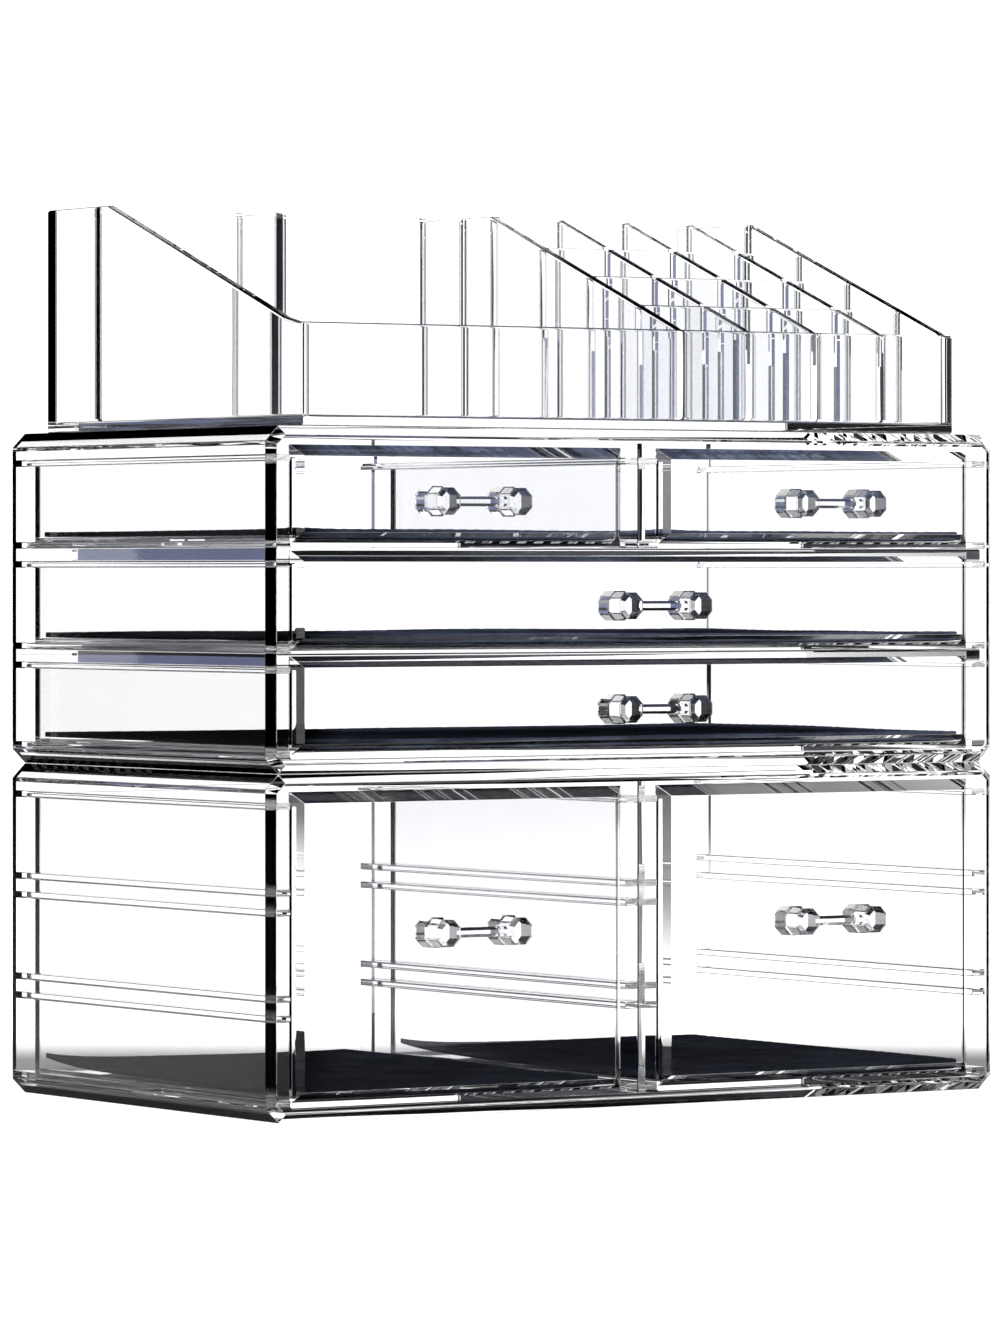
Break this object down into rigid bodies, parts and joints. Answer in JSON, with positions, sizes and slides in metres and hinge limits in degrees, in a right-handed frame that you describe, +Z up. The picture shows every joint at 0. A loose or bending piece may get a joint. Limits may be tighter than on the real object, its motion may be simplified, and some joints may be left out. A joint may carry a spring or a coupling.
{
  "type": "makeup organizer with drawers",
  "caption": "Clear stacking cosmetic organizer: two drawer cabinets with faceted bridge handles and a top tray with a sloped lipstick grid and tall compartments.",
  "frame": {"origin": "centre of the lower cabinet's resting face", "axes": "+Z up, drawers open towards -Y, +X to the right seen from the front"},
  "size_m": [0.24, 0.1519, 0.2476],
  "materials": {
    "cabinet_clear": "clear polished moulding",
    "drawer_clear": "clear polished moulding",
    "tray_clear": "clear polished moulding",
    "handle_crystal": "clear faceted moulding",
    "pad_mesh": "black open mesh liner"
  },
  "bodies": {
    "lower_cabinet": {"lower_shell": "cabinet_clear", "lower_divider": "cabinet_clear"},
    "upper_cabinet": {"upper_shell": "cabinet_clear", "upper_divider": "cabinet_clear", "upper_shelf_1": "cabinet_clear", "upper_shelf_2": "cabinet_clear"},
    "top_tray": {"tray_shell": "tray_clear", "tray_partition": "tray_clear", "tray_cross_wall": "tray_clear", "tray_rear_divider": "tray_clear", "lipstick_rear_wall": "tray_clear", "lipstick_cross_1": "tray_clear", "lipstick_cross_2": "tray_clear", "lipstick_cross_3": "tray_clear", "lipstick_long_1": "tray_clear", "lipstick_long_2": "tray_clear", "lipstick_long_3": "tray_clear"},
    "drawer_large_left": {"drawer_large_left": "drawer_clear", "handle_large_left": "handle_crystal", "pad_large_left": "pad_mesh"},
    "drawer_large_right": {"drawer_large_right": "drawer_clear", "handle_large_right": "handle_crystal", "pad_large_right": "pad_mesh"},
    "drawer_small_left": {"drawer_small_left": "drawer_clear", "handle_small_left": "handle_crystal", "pad_small_left": "pad_mesh"},
    "drawer_small_right": {"drawer_small_right": "drawer_clear", "handle_small_right": "handle_crystal", "pad_small_right": "pad_mesh"},
    "drawer_wide_middle": {"drawer_wide_middle": "drawer_clear", "handle_wide_middle": "handle_crystal", "pad_wide_middle": "pad_mesh"},
    "drawer_wide_bottom": {"drawer_wide_bottom": "drawer_clear", "handle_wide_bottom": "handle_crystal", "pad_wide_bottom": "pad_mesh"}
  },
  "joints": [
    {"name": "upper_cabinet_lift", "type": "slide", "parent": "lower_cabinet", "child": "upper_cabinet", "axis": [0, 0, 1], "range_m": [0, 0.04]},
    {"name": "top_tray_lift", "type": "slide", "parent": "upper_cabinet", "child": "top_tray", "axis": [0, 0, 1], "range_m": [0, 0.04]},
    {"name": "large_left_slide", "type": "slide", "parent": "lower_cabinet", "child": "drawer_large_left", "axis": [0, -1, 0], "range_m": [0, 0.12]},
    {"name": "large_right_slide", "type": "slide", "parent": "lower_cabinet", "child": "drawer_large_right", "axis": [0, -1, 0], "range_m": [0, 0.12]},
    {"name": "small_left_slide", "type": "slide", "parent": "upper_cabinet", "child": "drawer_small_left", "axis": [0, -1, 0], "range_m": [0, 0.12]},
    {"name": "small_right_slide", "type": "slide", "parent": "upper_cabinet", "child": "drawer_small_right", "axis": [0, -1, 0], "range_m": [0, 0.12]},
    {"name": "wide_middle_slide", "type": "slide", "parent": "upper_cabinet", "child": "drawer_wide_middle", "axis": [0, -1, 0], "range_m": [0, 0.12]},
    {"name": "wide_bottom_slide", "type": "slide", "parent": "upper_cabinet", "child": "drawer_wide_bottom", "axis": [0, -1, 0], "range_m": [0, 0.12]}
  ]
}
